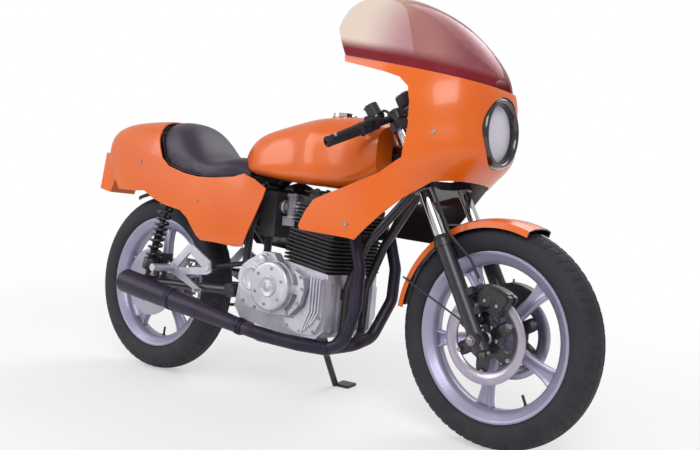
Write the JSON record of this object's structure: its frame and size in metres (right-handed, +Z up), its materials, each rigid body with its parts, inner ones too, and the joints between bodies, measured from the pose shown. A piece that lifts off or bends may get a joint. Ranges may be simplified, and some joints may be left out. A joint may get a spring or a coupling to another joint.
{
  "type": "half-faired parallel-twin cafe racer motorcycle",
  "caption": "Sport motorcycle with half fairing and bubble screen, single seat hump, cast wheels, finned twin engine and side exhaust, leaning on its side stand",
  "frame": {"origin": "on the ground under the middle of the parked machine's bounding box", "axes": "+X forward along the machine, +Y to its left, +Z up; it leans 8 degrees to its left on the side stand"},
  "size_m": [2.1086, 0.6562, 1.3123],
  "materials": {
    "orange": "gloss orange paint",
    "tyre": "black road tyre",
    "wheel": "silver painted cast alloy",
    "disc": "ground steel, black carriers",
    "black_metal": "satin black paint",
    "alloy": "cast alloy",
    "cylinder": "dark grey cast fins",
    "steel": "bare steel",
    "chrome": "hard chrome",
    "exhaust": "satin black heat paint",
    "rubber": "black moulded rubber",
    "seat": "dark padded vinyl",
    "glass": "clear lens",
    "screen": "tinted acrylic",
    "red_lens": "red lens",
    "black_plastic": "black plastic"
  },
  "bodies": {
    "chassis": {"frame": "black_metal", "swingarm": "black_metal", "rear_axle": "steel", "rear_shocks": "black_metal", "crankcase": "alloy", "clutch_cover": "alloy", "drive_cover": "alloy", "cylinder_barrels": "cylinder", "cylinder_head": "cylinder", "carburettors": "alloy", "air_box": "black_plastic", "exhaust_headers": "exhaust", "silencer": "exhaust", "fuel_tank": "orange", "seat_cowl": "orange", "seat_pad": "seat", "tail_lamp_housing": "orange", "tail_lamp_lens": "red_lens", "rear_mudguard": "black_plastic", "fairing": "orange", "fairing_stay": "black_metal", "windscreen": "screen", "headlamp_shell": "chrome", "headlamp_lens": "glass", "footrests": "alloy", "chain": "steel", "rear_caliper": "black_metal"},
    "steering": {"fork_sliders": "black_metal", "fork_stanchions": "chrome", "yokes_and_stem": "black_metal", "clip_on_bars": "black_metal", "handlebar_grips": "rubber", "bar_controls": "black_plastic", "front_axle": "steel", "front_mudguard": "orange", "fork_brace": "black_metal", "front_calipers": "black_metal", "instruments": "black_plastic"},
    "front_wheel": {"front_tyre": "tyre", "front_wheel_casting": "wheel", "front_discs": "disc"},
    "rear_wheel": {"rear_tyre": "tyre", "rear_wheel_casting": "wheel", "rear_disc": "disc", "rear_sprocket": "steel"},
    "side_stand": {"side_stand": "black_metal"},
    "filler_lid": {"filler_cap": "chrome"}
  },
  "joints": [
    {"name": "steering", "type": "hinge", "parent": "chassis", "child": "steering", "pos_m": [0.42423, -0.00369, 0.78235], "axis": [-0.4694, 0.1229, 0.8744], "range_deg": [-18, 30]},
    {"name": "front_wheel_spin", "type": "hinge", "parent": "steering", "child": "front_wheel", "pos_m": [0.73541, -0.07462, 0.31893], "axis": [0.0923, 0.9917, -0.0898], "continuous": true},
    {"name": "rear_wheel_spin", "type": "hinge", "parent": "chassis", "child": "rear_wheel", "pos_m": [-0.68432, -0.06766, 0.32723], "axis": [0, 0.9903, -0.1392], "continuous": true},
    {"name": "side_stand_swing", "type": "hinge", "parent": "chassis", "child": "side_stand", "pos_m": [0.01567, 0.02839, 0.16274], "axis": [0.0775, 0.8942, 0.4409], "range_deg": [0, 87.1]},
    {"name": "filler_lid", "type": "hinge", "parent": "chassis", "child": "filler_lid", "pos_m": [0.1587, 0.01954, 0.94761], "axis": [0, 0.9903, -0.1392], "range_deg": [0, 95]}
  ]
}
